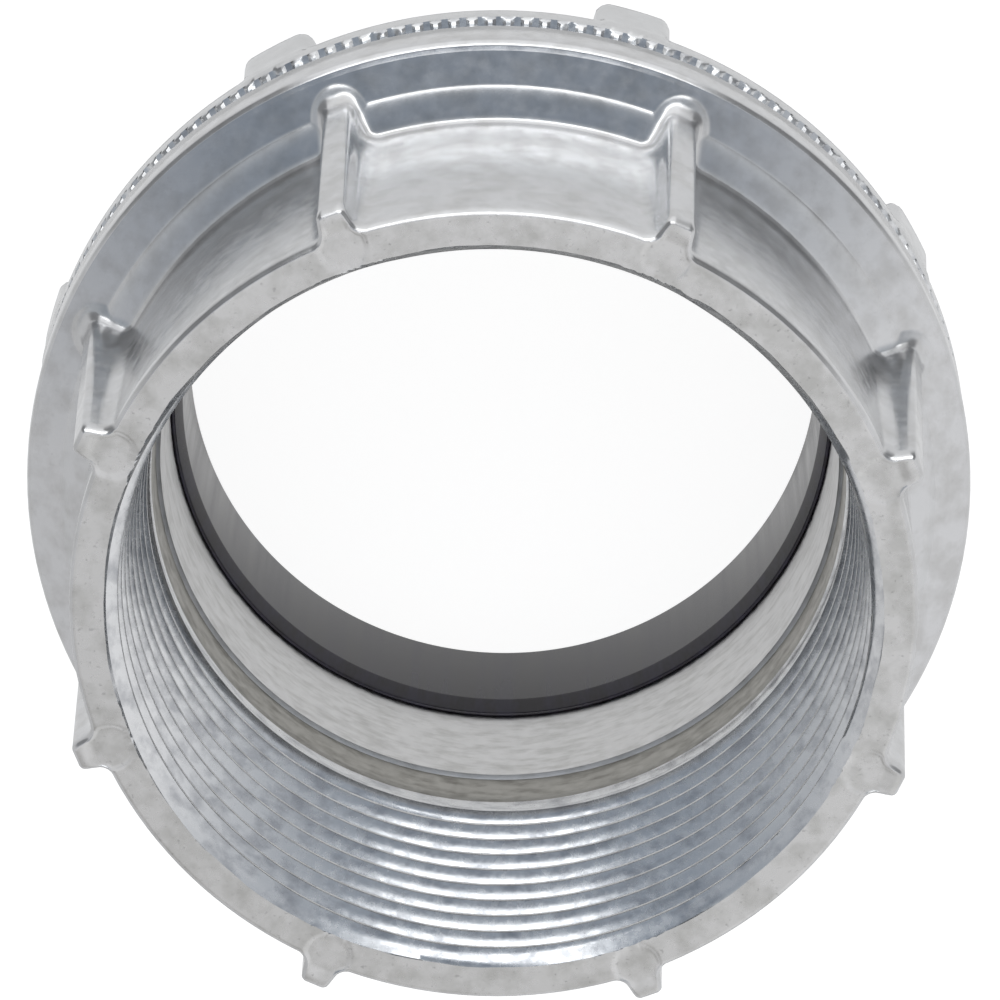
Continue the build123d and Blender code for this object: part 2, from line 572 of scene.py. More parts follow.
class Nodes(Graph):
    """Shorthand for building a material's nodes."""

    def __init__(self, name: str) -> None:
        """Start a material with a shader and an output.

        Args:
            name: Name of the material.
        """
        self.material = bpy.data.materials.new(name)
        self.material.use_nodes = True
        super().__init__(self.material.node_tree)
        self.shader = self.tree.nodes["Principled BSDF"]
        self.place = self.tree.nodes.new("ShaderNodeTexCoord").outputs["Object"]

    def scaled(self, factors: Point) -> Socket:
        """Object coordinates multiplied by a factor along each axis.

        Args:
            factors: Factor along X, Y and Z.

        Returns:
            The scaled coordinates' socket.
        """
        node = self.tree.nodes.new("ShaderNodeMapping")
        node.inputs["Scale"].default_value = factors
        self.link(self.place, node.inputs["Vector"])
        return node.outputs["Vector"]

    def noise(self, size_mm: float, detail: float = 3.0, stretch: Point = EVEN) -> Socket:
        """Noise with features of a real size.

        Args:
            size_mm: Size of a feature in millimetres.
            detail: Finer layers that are added.
            stretch: How much longer a feature is along each axis.

        Returns:
            The noise's value, about 0.3 to 0.7.
        """
        node = self.tree.nodes.new("ShaderNodeTexNoise")
        node.inputs["Scale"].default_value = 1.0
        node.inputs["Detail"].default_value = detail
        node.inputs["Roughness"].default_value = 0.55
        scale = 1000.0 / size_mm
        self.link(self.scaled(tuple(scale / s for s in stretch)), node.inputs["Vector"])
        return node.outputs["Fac"]

    def bump(self, height: Socket, depth_mm: float, under: Socket | None = None) -> Socket:
        """Turn a height into a bumped normal.

        Args:
            height: Height from 0 to 1.
            depth_mm: Depth in millimetres that a height of 1 stands for.
            under: Normal of a coarser bump below this one.

        Returns:
            The normal's socket.
        """
        node = self.tree.nodes.new("ShaderNodeBump")
        node.inputs["Distance"].default_value = depth_mm * MM
        node.inputs["Strength"].default_value = 1.0
        self.link(height, node.inputs["Height"])
        if under is not None:
            self.link(under, node.inputs["Normal"])
        return node.outputs["Normal"]

    def set(self, **values: float | tuple[float, ...]) -> None:
        """Set the shader's constant sockets, with spaces for underscores.

        Args:
            **values: Value for each socket.
        """
        for key, value in values.items():
            self.shader.inputs[key.replace("_", " ")].default_value = value

    def finish(self, color: Socket, rough: Socket, normal: Socket) -> Material:
        """Feed the shader and hand over the material.

        Args:
            color: Socket with the base colour.
            rough: Socket with the roughness.
            normal: Socket with the bumped normal.

        Returns:
            The material.
        """
        for key, source in (("Base Color", color), ("Roughness", rough), ("Normal", normal)):
            self.link(source, self.shader.inputs[key])
        return self.material


@dataclass(frozen=True)
class CastZinc:
    """As-cast zinc skin: mottled grey metal with soft sheen and fine pits."""

    name: str
    light: Color = (0.655, 0.66, 0.67)
    dark: Color = (0.56, 0.56, 0.56)
    roughness: float = 0.2
    mottle: Mottle = Mottle.LIVELY
    patch_mm: float = 2.6
    pitting: float = 0.12
    pit_color: Color = (0.3, 0.3, 0.3)

    def build(self) -> Material:
        """Build the finish.

        Returns:
            The material.
        """
        nodes = Nodes(self.name)
        nodes.set(Metallic=1.0)
        patches = nodes.noise(self.patch_mm, 4.0)
        share = nodes.graded(patches, 0.42, 0.68, 0.0, self.mottle.value)
        skin = nodes.blend(share, self.light, self.dark)
        pits = nodes.graded(nodes.noise(0.45, 2.0), 0.64, 0.74, 0.0, self.pitting)
        color = nodes.blend(pits, skin, self.pit_color)
        rough = nodes.graded(nodes.noise(1.5, 3.0), 0.35, 0.65, self.roughness - 0.03, self.roughness + 0.06)
        waves = nodes.bump(nodes.noise(2.6, 1.0), 0.012)
        return nodes.finish(color, rough, nodes.bump(nodes.noise(0.5, 1.0), 0.0016, waves))


@dataclass(frozen=True)
class CutZinc:
    """Machined zinc: brighter, smoother metal with tool marks that run round the axis."""

    name: str
    light: Color = (0.74, 0.75, 0.76)
    dark: Color = (0.50, 0.51, 0.53)
    roughness: float = 0.22
    mark_mm: float = 0.25
    mark_depth_mm: float = 0.003

    def build(self) -> Material:
        """Build the finish.

        Returns:
            The material.
        """
        nodes = Nodes(self.name)
        nodes.set(Metallic=1.0)
        patches = nodes.graded(nodes.noise(1.6, 4.0, (1.6, 1.6, 0.6)), 0.45, 0.68)
        color = nodes.blend(patches, self.light, self.dark)
        rough = nodes.graded(nodes.noise(1.0, 3.0), 0.35, 0.65, self.roughness - 0.04, self.roughness + 0.08)
        marks = nodes.noise(self.mark_mm, 2.0, (12.0, 12.0, 1.0))
        coarse = nodes.bump(nodes.noise(1.3, 1.0), 0.012)
        return nodes.finish(color, rough, nodes.bump(marks, self.mark_depth_mm, coarse))


@dataclass(frozen=True)
class LinerPlastic:
    """Dark moulded plastic with a polished inside and faint draw lines."""

    name: str
    color: Color = (0.035, 0.03, 0.038)
    tint: Color = (0.05, 0.045, 0.07)
    roughness: float = 0.16

    def build(self) -> Material:
        """Build the finish.

        Returns:
            The material.
        """
        nodes = Nodes(self.name)
        nodes.set(Metallic=0.0, Specular_IOR_Level=0.5, IOR=1.48)
        lines = nodes.noise(1.6, 2.0, (1.0, 1.0, 30.0))
        color = nodes.blend(nodes.graded(lines, 0.4, 0.65), self.color, self.tint)
        rough = nodes.graded(lines, 0.35, 0.65, self.roughness, self.roughness + 0.08)
        return nodes.finish(color, rough, nodes.bump(lines, 0.004))


@dataclass(frozen=True)
class SealRubber:
    """Matte black rubber with a faint bloom."""

    name: str
    color: Color = (0.022, 0.022, 0.023)
    bloom: Color = (0.05, 0.05, 0.05)

    def build(self) -> Material:
        """Build the finish.

        Returns:
            The material.
        """
        nodes = Nodes(self.name)
        nodes.set(Metallic=0.0)
        color = nodes.blend(nodes.graded(nodes.noise(1.8, 4.0), 0.4, 0.7), self.color, self.bloom)
        rough = nodes.graded(nodes.noise(0.6, 2.0), 0.3, 0.7, 0.6, 0.8)
        return nodes.finish(color, rough, nodes.bump(nodes.noise(0.4, 2.0), 0.02))


@dataclass
class HubCasting:
    """The one-piece casting: mouth, ribs, flange and male nipple, with both threads."""

    mouth_z: float = 66.5
    flange_rear_z: float = 31.5
    nipple_end_z: float = 1.0
    barrel_r: float = 38.0
    barrel_draft: float = 0.0079
    mouth_bevel: float = 0.22
    bevel_height: float = 0.5
    flange_r: float = 44.5
    slope_r: float = 43.68
    slope_z: float = 36.9
    slope_tilt_deg: float = 55.7
    foot_fillet: float = 0.5
    skirt_r: float = 41.05
    skirt_half_width: float = 2.8
    skirt_tip_r: float = 43.25
    skirt_rise: float = 0.38
    skirt_soft: float = 0.6
    rib_count: int = 8
    rib_phase_deg: float = 20.8
    rib_half_width: float = 1.25
    rib_side_draft: float = 0.2
    rib_front_r: float = 40.4
    rib_rise: float = 0.05
    rib_edge: float = 0.5
    rib_fillets: tuple[Quad, Quad] = ((38.0, 46.0, 60.0, 66.0), (0.8, 1.7, 1.3, 0.9))
    mouth_round: float = 0.12
    face_row_count: int = 12
    edge_ripple: float = 0.05
    chamfer: float = 1.05
    chamfer_height: float = 1.45
    minor_r: float = 33.85
    thread_end_z: float = 34.0
    thread_fade: tuple[float, float] = (-0.2, 4.0)
    thread_limit: float = 0.55
    taper: float = 1.0 / 32.0
    bore_r: float = 32.4
    nipple_r: float = 36.2
    nipple_relief_z: float = 29.6
    nipple_fade: float = 1.2
    nipple_chamfer: float = 1.2
    pin_r: float = 2.1
    pin_centre_r: float = 37.0
    pin_depth: float = 0.12
    pin_edge: float = 0.15
    seal_groove: tuple[float, float, float] = (39.0, 42.2, 2.4)
    plain_columns: int = 330
    body: str = "hub"

    def inner_form(self) -> ThreadForm:
        """Form of the tapered thread in the mouth."""
        return ThreadForm(pitch=3.175, depth=2.0, crest=0.45, root=0.35, start_z=33.2)

    def outer_form(self) -> ThreadForm:
        """Form of the straight thread on the nipple."""
        return ThreadForm(pitch=3.175, depth=1.8, crest=0.45, root=0.55, start_z=1.3)

    def column_offsets(self) -> list[float]:
        """Place the columns of one rib's sector, closer together near the rib.

        Returns:
            Their angles in degrees from the rib.
        """
        fine = [0.2 * step for step in range(23)]
        middle = [fine[-1] + 0.55 * step for step in range(1, 5)]
        half_sector = 180.0 / self.rib_count
        coarse = [middle[-1] + (half_sector - middle[-1]) * step / 7 for step in range(1, 7)]
        side = fine[1:] + middle + coarse
        return sorted([-angle for angle in side] + [0.0] + side + [half_sector])

    def column_angles(self) -> np.ndarray:
        """Place all columns of the outside.

        Returns:
            Their angles in radians.
        """
        sector = 360.0 / self.rib_count
        starts = [self.rib_phase_deg + sector * rib for rib in range(self.rib_count)]
        return np.radians(np.array([start + offset for start in starts for offset in self.column_offsets()]))

    def offsets(self) -> np.ndarray:
        """Angle of each column from its nearest rib, in radians."""
        return np.radians(np.array(self.column_offsets() * self.rib_count))

    def rim(self) -> Section:
        """Draw the flange's rim.

        Returns:
            Its outline, from the rear edge to the start of the slope.
        """
        fall = 1.0 / math.tan(math.radians(self.slope_tilt_deg))
        return rounded(
            [
                (self.flange_r - 0.2, self.flange_rear_z, 0.0, 1),
                (self.flange_r, self.flange_rear_z + 0.2, 0.1, 1),
                (self.flange_r, 36.15, 1.5, 6),
                (44.1, 36.68, 0.25, 3),
                (self.slope_r, self.slope_z, 0.3, 2),
                (self.slope_r - 1.0, self.slope_z + fall, 0.0, 1),
            ]
        )[:-1]

    def rays(self) -> list[tuple[float, float, float]]:
        """Lay out the rows above the rim.

        Returns:
            Radius and height where each row's rays start, and their direction above the radial in radians.
        """
        tilt = math.radians(self.slope_tilt_deg)
        radii = [*np.arange(43.46, 40.2, -0.15), *np.arange(40.1, 38.3, -0.3)]
        rows = [(float(r), self.slope_z + (self.slope_r - r) / math.tan(tilt), tilt) for r in radii]
        heights = [41.0, 41.3, 41.6, 42.0, 42.6, 43.6, 45.2, 47.6, 51.0, 55.0, 59.0, 62.5, 64.6]
        for z in [*heights, self.mouth_z - self.bevel_height]:
            lean = float(np.interp(z, [41.0, 46.0, 52.0, 58.0], [self.slope_tilt_deg - 1.0, 38.0, 18.0, 0.0]))
            rows.append((self.barrel_at(z), z, math.radians(lean)))
        return rows

    def barrel_at(self, z: Amount) -> Amount:
        """Radius of the barrel between the ribs at a height."""
        return self.barrel_r + (self.mouth_z - z) * self.barrel_draft

    def form(self, r: np.ndarray, z: np.ndarray, offset: np.ndarray) -> np.ndarray:
        """Distance from the outside: slope, raised skirt, barrel and ribs.

        Args:
            r: Radii of the points.
            z: Heights of the points.
            offset: Angles of the points from the nearest rib.

        Returns:
            Signed distances.
        """
        across = np.abs(r * np.sin(offset))
        along = r * np.cos(offset)
        tilt = math.radians(self.slope_tilt_deg)
        tip = np.hypot(np.maximum(along - self.skirt_tip_r + self.skirt_half_width, 0.0), across)
        inside = np.maximum(np.maximum(self.skirt_r - r, self.skirt_half_width - tip), 0.0)
        rise = self.skirt_rise * (1.0 - np.exp(-inside / self.skirt_soft))
        slope = (r - self.slope_r) * math.cos(tilt) + (z - self.slope_z) * math.sin(tilt) - rise
        base = filleted_union(slope, r - self.barrel_at(z), self.foot_fillet)
        crest = self.rib_front_r + (self.mouth_z - z) * self.rib_rise
        half = self.rib_half_width + self.rib_side_draft * (crest - along)
        rib = rounded_box([along - crest, across - half], self.rib_edge)
        return filleted_union(base, rib, np.interp(z, *self.rib_fillets))

    def outside_ring(self, skin: Skin, r: float, z: float, lean: float) -> Ring:
        """Add one row of the outside, pushed out over the skirt and the ribs.

        Args:
            skin: The skin to add to.
            r: Radius where the row's rays start.
            z: Height where they start.
            lean: Their direction above the radial in radians.

        Returns:
            The row's numbers.
        """
        offset = self.offsets()
        out, up = math.cos(lean), math.sin(lean)
        reach = push_out(lambda length: self.form(r + length * out, z + length * up, offset), len(offset))
        return skin.around(r + reach * out, self.column_angles(), z + reach * up)

    def bevelled(self, skin: Skin, ring: Ring) -> list[Ring]:
        """Add the rows of the mouth's bevelled outer edge, square to its outline.

        Args:
            skin: The skin to add to.
            ring: The last row of the outside.

        Returns:
            The new rows, from the bevel to the face.
        """
        base = np.array([skin.points[number] for number in ring])
        ahead, behind = np.roll(base, -1, axis=0), np.roll(base, 1, axis=0)
        along = (ahead - behind)[:, :2]
        along /= np.linalg.norm(along, axis=1)[:, None]
        normal = np.stack([along[:, 1], -along[:, 0]], axis=1)
        face_z = self.mouth_z
        steps = [
            (self.mouth_bevel * 0.45, face_z - self.bevel_height * 0.5),
            (self.mouth_bevel, face_z - self.mouth_round),
            (self.mouth_bevel + self.mouth_round * 0.3, face_z - self.mouth_round * 0.3),
            (self.mouth_bevel + self.mouth_round, face_z),
        ]
        return [skin.ring([(x, y, z) for x, y in base[:, :2] - normal * inward]) for inward, z in steps]

    def pin_drop(self, x: np.ndarray, y: np.ndarray) -> np.ndarray:
        """How far the face sinks in the ejector pins' marks.

        Args:
            x: X of the points.
            y: Y of the points.

        Returns:
            Depths in millimetres.
        """
        sector = TURN / self.rib_count
        angle = (np.arctan2(y, x) - math.radians(self.rib_phase_deg) + sector / 2) % sector - sector / 2
        r = np.hypot(x, y)
        away = np.hypot(r * np.cos(angle) - self.pin_centre_r, r * np.sin(angle))
        return self.pin_depth * (1.0 - smooth(self.pin_r - self.pin_edge, self.pin_r + self.pin_edge, away))

    def face_rows(self, skin: Skin, outer: Ring) -> Ring:
        """Add the mouth's flat face, with the ejector pins' marks and a slightly uneven inner edge.

        Args:
            skin: The skin to add to.
            outer: Outer ring of the face.

        Returns:
            Numbers of the ring at the chamfer.
        """
        start = np.array([skin.points[number] for number in outer])[:, :2]
        angles = np.arctan2(start[:, 1], start[:, 0])
        rng = random.Random(7)
        ripple = np.array([rng.gauss(0.0, self.edge_ripple) for _ in angles])
        ripple = (ripple + np.roll(ripple, 1) + np.roll(ripple, 2)) / 2.0
        inner_r = self.minor_r + self.chamfer + ripple
        end = np.stack([inner_r * np.cos(angles), inner_r * np.sin(angles)], axis=1)
        rows = self.face_row_count
        rings = [outer]
        for row in range(1, rows + 1):
            x, y = (start + (end - start) * row / rows).T
            rings.append(skin.ring(list(zip(x, y, self.mouth_z - self.pin_drop(x, y)))))
        skin.join_all(rings, Coat.FACE)
        return rings[-1]

    def mouth_radius(self, angle: np.ndarray, z: np.ndarray) -> np.ndarray:
        """Radius of the threaded mouth's wall.

        Args:
            angle: Angles about the axis.
            z: Heights.

        Returns:
            The radii.
        """
        chamfer_z = self.mouth_z - self.chamfer_height
        wall = self.minor_r - self.taper * (chamfer_z - z)
        fade_low, fade_high = self.thread_fade
        fade = smooth(self.thread_end_z + fade_low, self.thread_end_z + fade_high, z)
        groove = wall + self.inner_form().cut(angle, z) * fade
        groove = np.minimum(groove, self.minor_r + self.chamfer + (self.mouth_z - z) * self.thread_limit)
        return np.maximum(groove, self.minor_r + (z - chamfer_z) * self.chamfer / self.chamfer_height)

    def nipple_radius(self, angle: np.ndarray, z: np.ndarray) -> np.ndarray:
        """Radius of the nipple's threaded wall.

        Args:
            angle: Angles about the axis.
            z: Heights.

        Returns:
            The radii.
        """
        fade = 1.0 - smooth(self.nipple_relief_z - self.nipple_fade, self.nipple_relief_z, z)
        groove = self.nipple_r - self.outer_form().cut(angle, z) * fade
        return np.minimum(groove, self.nipple_r - self.nipple_chamfer + (z - self.nipple_end_z))

    def build(self, finishes: Sequence[Material]) -> Object:
        """Build the casting.

        Args:
            finishes: Finishes of the cast skin, the threads, the smooth bore, the mouth's face
            and the relief below the mouth's thread, a darker zinc that paints the shade in that recess.

        Returns:
            The piece.
        """
        skin = Skin()
        angles = self.column_angles()
        rows = [skin.around(r, angles, z) for r, z in self.rim()]
        rows += [self.outside_ring(skin, r, z, lean) for r, z, lean in self.rays()]
        rows += self.bevelled(skin, rows[-1])
        skin.join_all(rows, Coat.CAST)
        inner = self.face_rows(skin, rows[-1])
        columns, top = self.plain_columns, self.mouth_z - self.chamfer_height
        low, high = threaded_wall(
            skin, self.inner_form(), self.mouth_radius, self.thread_end_z, top, columns, Coat.CUT
        )
        angles = even_angles(columns)
        chamfer = [high]
        for z in np.linspace(top, self.mouth_z, 6)[1:-1]:
            chamfer.append(skin.around(self.mouth_radius(angles, np.full(columns, z)), angles, z))
        skin.join_all([*chamfer, inner], Coat.CUT)
        relief = [(32.95, 33.9), (33.08, 33.7), (33.0, 32.0), (32.9, 30.6), (32.8, 29.2), (32.78, 28.95)]
        # The relief ring takes the darker zinc, painted shade for this recess.
        end = skin.strip(low, relief, Coat.RELIEF_SHADE)
        bore = [(32.5, 28.72), (self.bore_r, 28.6), (self.bore_r, 20.0), (self.bore_r, self.nipple_end_z)]
        end = skin.strip(end, bore, Coat.BORED)
        end = skin.strip(end, [(33.6, self.nipple_end_z)], Coat.CAST)
        nipple_low, nipple_high = threaded_wall(
            skin, self.outer_form(), self.nipple_radius, self.nipple_end_z, self.nipple_relief_z, columns, Coat.CUT
        )
        skin.join(end, nipple_low, Coat.CAST)
        groove_in, groove_out, groove_depth = self.seal_groove
        rear = [
            (self.nipple_r, 30.9),
            (self.nipple_r + 0.5, self.flange_rear_z),
            (groove_in, self.flange_rear_z),
            (groove_in, self.flange_rear_z + groove_depth),
            (groove_out, self.flange_rear_z + groove_depth),
            (groove_out, self.flange_rear_z),
        ]
        end = skin.strip(nipple_high, rear, Coat.CAST)
        skin.join(end, rows[0], Coat.CAST)
        piece = skin.mesh("hub_casting", finishes, 38.0)
        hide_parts("hub_body")
        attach(piece, self.body)
        return piece


@dataclass
class ToothedLocknut:
    """The locknut: toothed rim, thick hub, eight lugs and a mating thread."""

    ring_r: float = 44.5
    ring_rear_z: float = 26.4
    tip_z: float = 31.15
    tooth_count: int = 164
    tooth_inner_r: float = 42.5
    tooth_wear: float = 0.25
    column_shares: tuple[float, ...] = (0.0, 0.18, 0.375, 0.625, 0.82)
    face_z: float = 28.5
    hub_r: float = 41.2
    rear_z: float = 20.5
    lug_count: int = 8
    lug_phase_deg: float = 28.5
    lug_r: float = 44.9
    lug_half_width: float = 3.7
    lug_round: float = 1.3
    lug_front_z: float = 27.9
    lug_fillet: float = 0.5
    clearance: float = 0.08
    lead_in: float = 1.1
    row_length: float = 0.8
    plain_columns: int = 360
    body: str = "nut"

    def column_angles(self) -> np.ndarray:
        """Place all columns, five to a tooth.

        Returns:
            Their angles in radians.
        """
        pitch = TURN / self.tooth_count
        places = [tooth + share for tooth in range(self.tooth_count) for share in self.column_shares]
        return np.array([pitch * place for place in places])

    def tooth_shares(self) -> np.ndarray:
        """Work out how much each column belongs to a tooth, with uneven wear.

        Returns:
            A share for each column: 0 in a gap, near 1 on a crest.
        """
        rng = random.Random(3)
        shares = []
        for _ in range(self.tooth_count):
            left, right = (1.0 - rng.random() * self.tooth_wear for _ in range(2))
            shares += [0.0, 0.0, left, right, 0.0]
        return np.array(shares)

    def tooth_rows(self) -> list[Quad]:
        """Lay out the rows over the toothed rim.

        Returns:
            Radius and height of each row in a gap, then on a crest.
        """
        return [
            (44.46, 28.62, 44.46, 28.62),
            (44.3, 28.72, 44.28, 29.2),
            (43.9, 29.05, 43.95, 29.5),
            (43.5, 29.4, 43.5, 30.1),
            (43.1, 29.75, 43.15, self.tip_z),
            (self.tooth_inner_r, 30.2, self.tooth_inner_r, self.tip_z),
        ]

    def rear(self) -> Section:
        """Draw the rear without its lugs.

        Returns:
            Its outline, from the rear face to the rim.
        """
        return rounded(
            [
                (39.0, self.rear_z, 0.0, 1),
                (self.hub_r, self.rear_z, 0.4, 3),
                (self.hub_r, self.ring_rear_z, 0.5, 3),
                (self.ring_r, self.ring_rear_z, 0.3, 3),
                (self.ring_r, self.lug_front_z, 0.0, 1),
            ]
        )

    def rear_rows(self) -> list[tuple[float, ...]]:
        """Lay out the rows of the rear.

        Returns:
            Radius and height where each row starts, and the way it is pushed out over a lug.
        """
        section = self.rear()
        filled: Section = []
        for (ar, az), (br, bz) in zip(section, section[1:]):
            length = math.hypot(br - ar, bz - az)
            steps = max(1, round(length / self.row_length))
            filled += [(ar + (br - ar) * s / steps, az + (bz - az) * s / steps) for s in range(steps)]
        filled.append(section[-1])
        lug = rounded(
            [
                (self.hub_r - 0.4, self.rear_z, 0.0, 1),
                (self.lug_r, self.rear_z, self.lug_round, 5),
                (self.ring_r, self.lug_front_z, 0.0, 1),
            ]
        )
        travelled = [0.0]
        for (ar, az), (br, bz) in zip(lug, lug[1:]):
            travelled.append(travelled[-1] + math.hypot(br - ar, bz - az))
        moving = [p for p in filled if p[0] > self.hub_r - 0.45]
        rows = []
        for r, z in filled:
            if (r, z) not in moving:
                rows.append((r, z, 0.0, -1.0))
                continue
            share = moving.index((r, z)) / (len(moving) - 1)
            reach = share * travelled[-1]
            target = [np.interp(reach, travelled, values) for values in zip(*lug)]
            way = np.array([target[0] - r, target[1] - z])
            length = float(np.linalg.norm(way))
            way = way / length if length > 1e-6 else np.array([1.0, 0.0])
            rows.append((r, z, float(way[0]), float(way[1])))
        return rows

    def lug_field(self, r: np.ndarray, z: np.ndarray, offset: np.ndarray) -> np.ndarray:
        """Distance from the nearest lug.

        Args:
            r: Radii of the points.
            z: Heights of the points.
            offset: Angles of the points from the lug.

        Returns:
            Signed distances.
        """
        across = np.abs(r * np.sin(offset))
        front = self.lug_r - (self.lug_r - self.ring_r) * (z - self.rear_z) / (self.lug_front_z - self.rear_z)
        sides = [r - front, across - self.lug_half_width, self.rear_z - z]
        return rounded_box(sides, self.lug_round)

    def build(self, cast: Material, cut: Material, hub: HubCasting) -> Object:
        """Build the locknut.

        Args:
            cast: Finish of the cast skin.
            cut: Finish of the teeth and the thread.
            hub: The casting whose thread the nut runs on.

        Returns:
            The piece.
        """
        skin = Skin()
        section = self.rear()
        sector = TURN / self.lug_count
        angles = self.column_angles()
        offset = (angles - math.radians(self.lug_phase_deg) + sector / 2) % sector - sector / 2

        def outside(r: np.ndarray, z: np.ndarray) -> np.ndarray:
            """Distance of a row's points from the rear and its lugs."""
            return filleted_union(distance_to(section, r, z), self.lug_field(r, z, offset), self.lug_fillet)

        rows = []
        for r, z, out, up in self.rear_rows():
            reach = push_out(lambda length: outside(r + length * out, z + length * up), len(offset))
            rows.append(skin.around(r + reach * out, angles, z + reach * up))
        skin.join_all(rows, Coat.CAST)
        tooth = self.tooth_shares()
        previous = rows[-1]
        for number, (gap_r, gap_z, crest_r, crest_z) in enumerate(self.tooth_rows()):
            ring = skin.around(gap_r + (crest_r - gap_r) * tooth, angles, gap_z + (crest_z - gap_z) * tooth)
            skin.join(previous, ring, Coat.CAST if number == 0 else Coat.CUT)
            previous = ring
        foot = skin.around(self.tooth_inner_r, angles, self.face_z)
        skin.join(previous, foot, Coat.CUT)
        form = hub.outer_form()

        def bore(angle: np.ndarray, z: np.ndarray) -> np.ndarray:
            """Work out the radius of the nut's thread, with its lead-in at both ends.

            Args:
                angle: Angles about the axis.
                z: Heights.

            Returns:
                The radii.
            """
            wall = hub.nipple_r - form.cut(angle, z) + self.clearance
            lead = np.maximum(z - (self.face_z - self.lead_in), (self.rear_z + self.lead_in) - z)
            return np.maximum(wall, hub.nipple_r + np.minimum(lead, self.lead_in))

        low, high = threaded_wall(skin, form, bore, self.rear_z, self.face_z, self.plain_columns, Coat.CUT)
        skin.join(foot, high, Coat.CAST)
        skin.join(low, rows[0], Coat.CAST)
        piece = skin.mesh("toothed_locknut", [cast, cut], 32.0)
        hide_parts("locknut")
        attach(piece, self.body)
        return piece


@dataclass
class ThroatLiner:
    """The insulating liner: a thin tube pressed in, with a lip over the nipple's end."""

    outer_r: float = 32.35
    inner_r: float = 31.3
    top_z: float = 14.5
    lip_r: float = 35.35
    columns: int = 360
    body: str = "hub"

    def build(self, plastic: Material) -> Object:
        """Build the liner.

        Args:
            plastic: Finish of the liner.

        Returns:
            The piece.
        """
        skin = Skin()
        section = rounded(
            [
                (self.outer_r, 1.0, 0.0, 1),
                (self.outer_r, self.top_z, 0.25, 4),
                (32.0, self.top_z, 0.25, 4),
                (self.inner_r, 12.5, 0.6, 5),
                (self.inner_r, 0.0, 0.6, 5),
                (self.lip_r, 0.0, 0.35, 4),
                (self.lip_r, 1.0, 0.0, 1),
            ]
        )
        skin.turn(section, self.columns)
        piece = skin.mesh("throat_liner", [plastic], 40.0)
        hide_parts("insulating_liner")
        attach(piece, self.body)
        return piece


@dataclass
class FlangeSeal:
    """The rubber ring in the flange's rear groove."""

    inner_r: float = 39.1
    outer_r: float = 42.1
    top_z: float = 33.9
    bottom_z: float = 30.9
    taper: float = 0.7
    columns: int = 240
    body: str = "hub"

    def build(self, rubber: Material) -> Object:
        """Build the ring.

        Args:
            rubber: Finish of the ring.

        Returns:
            The piece.
        """
        skin = Skin()
        section = rounded(
            [
                (self.inner_r, self.top_z, 0.0, 1),
                (self.inner_r + self.taper, self.bottom_z, 0.4, 4),
                (self.outer_r - self.taper, self.bottom_z, 0.4, 4),
                (self.outer_r, self.top_z, 0.0, 1),
            ]
        )
        skin.turn(section, self.columns)
        piece = skin.mesh("flange_seal", [rubber], 40.0)
        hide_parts("sealing_ring")
        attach(piece, self.body)
        return piece


